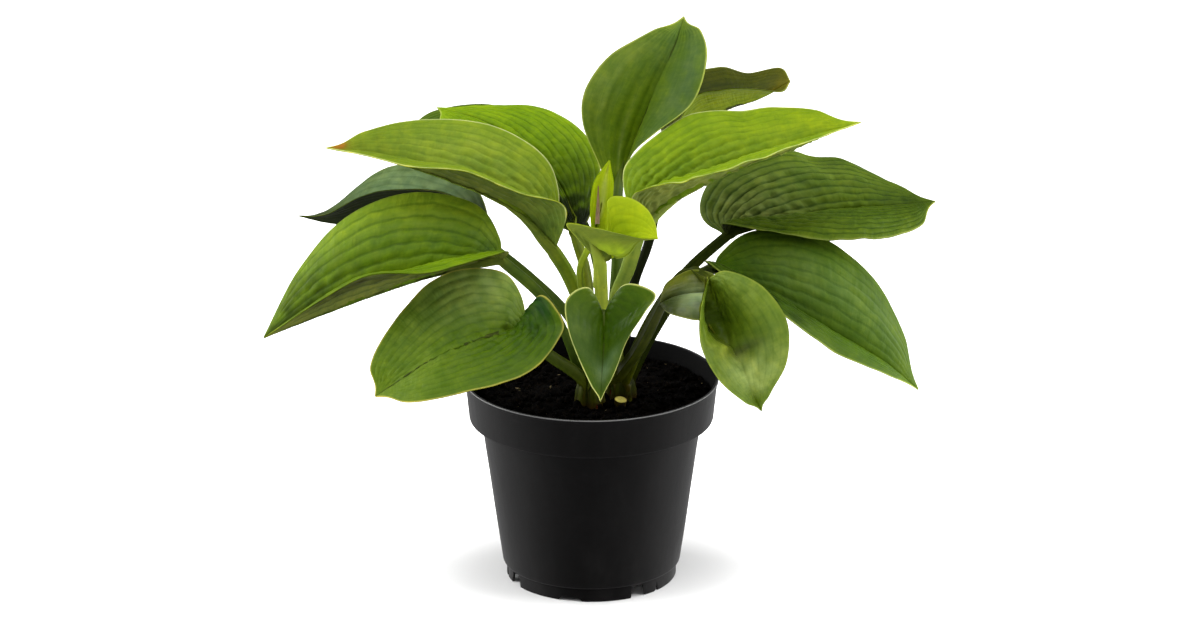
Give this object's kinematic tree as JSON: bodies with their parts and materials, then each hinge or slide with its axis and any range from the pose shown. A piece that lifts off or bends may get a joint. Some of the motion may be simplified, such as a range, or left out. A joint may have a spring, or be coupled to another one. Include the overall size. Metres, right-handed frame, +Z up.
{
  "type": "potted hosta plant",
  "caption": "Hosta with broad ribbed heart-shaped leaves on channelled stalks, growing from a crown in a round nursery pot of peat mix.",
  "frame": {"origin": "centre of the pot's underside, on the ground", "axes": "+Z up along the pot's axis, -Y toward the front, +X to the right as seen from the front"},
  "size_m": [0.4481, 0.3213, 0.374],
  "materials": {
    "pot_plastic": "satin",
    "soil_peat": "matte",
    "crown": "satin",
    "sheath_dry": "matte",
    "leaf_light": "satin",
    "leaf_mid": "satin",
    "leaf_dark": "satin",
    "leaf_blue": "satin",
    "leaf_young": "satin",
    "leaf_gloss": "gloss"
  },
  "bodies": {
    "root": {"pot": "pot_plastic", "soil": "soil_peat", "crown": "crown", "leaf_01": "leaf_mid", "leaf_02": "leaf_mid", "leaf_03": "leaf_light", "leaf_04": "leaf_light", "leaf_05": "leaf_dark", "leaf_06": "leaf_blue", "leaf_07": "leaf_mid", "leaf_08": "leaf_dark", "leaf_09": "leaf_light", "leaf_10": "leaf_dark", "leaf_11": "leaf_mid", "leaf_12": "leaf_mid", "leaf_13": "leaf_gloss", "leaf_14": "leaf_young", "leaf_15": "leaf_young", "leaf_16": "leaf_dark", "sheath": "sheath_dry"}
  },
  "joints": []
}
